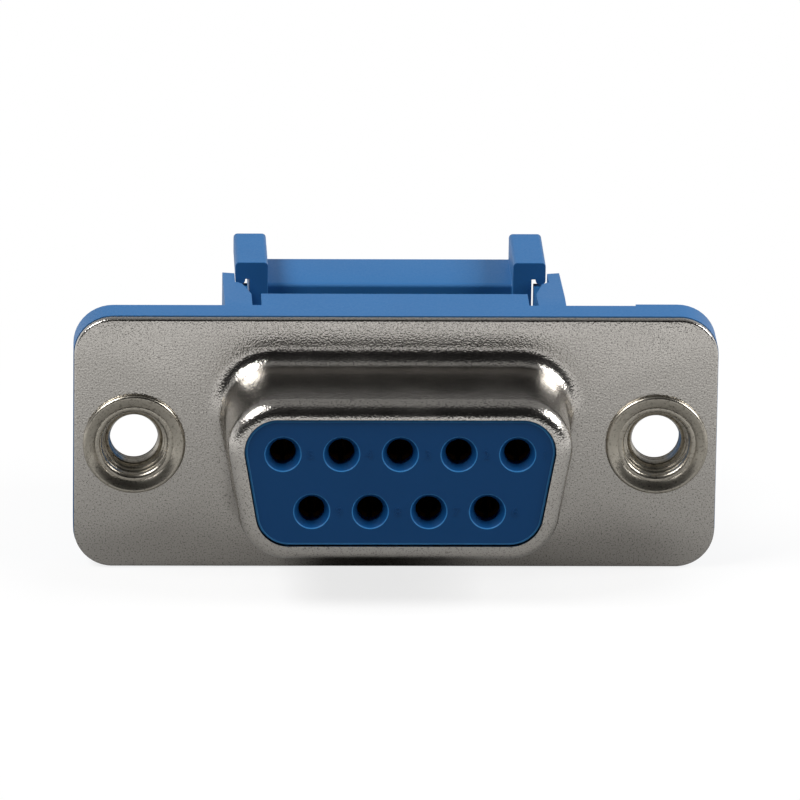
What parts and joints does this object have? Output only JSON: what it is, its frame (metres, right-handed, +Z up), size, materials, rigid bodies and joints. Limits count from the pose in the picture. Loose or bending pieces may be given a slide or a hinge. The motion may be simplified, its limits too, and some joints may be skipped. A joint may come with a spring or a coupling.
{
  "type": "d-sub connector",
  "caption": "Female D-subminiature connector for flat ribbon cable: drawn metal hood and flange with screw eyelets, blue insulators, spring contacts and a press-on cover.",
  "frame": {"origin": "centre of the metal flange's front face, midway between the two screw holes", "axes": "+X to the right seen from the mating side, +Y back towards the ribbon cover, +Z up with the wide row of contacts on top"},
  "size_m": [0.0308, 0.02, 0.0126],
  "materials": {
    "shell_sheet": "dull tin plate over drawn steel",
    "front_plastic": "moulded, satin",
    "body_plastic": "moulded, satin",
    "eyelet_metal": "dull tin plate over turned steel",
    "cover_plastic": "moulded, satin",
    "contact_metal": "thin gold over copper alloy"
  },
  "bodies": {
    "base": {"shell": "shell_sheet", "front_insulator": "front_plastic", "rear_body": "body_plastic", "eyelet_left": "eyelet_metal", "eyelet_right": "eyelet_metal", "contact_1": "contact_metal", "contact_2": "contact_metal", "contact_3": "contact_metal", "contact_4": "contact_metal", "contact_5": "contact_metal", "contact_6": "contact_metal", "contact_7": "contact_metal", "contact_8": "contact_metal", "contact_9": "contact_metal"},
    "cover": {"cover": "cover_plastic"}
  },
  "joints": [
    {"name": "cover_press", "type": "slide", "parent": "base", "child": "cover", "axis": [0, -1, 0], "range_m": [0, 0.002]}
  ]
}
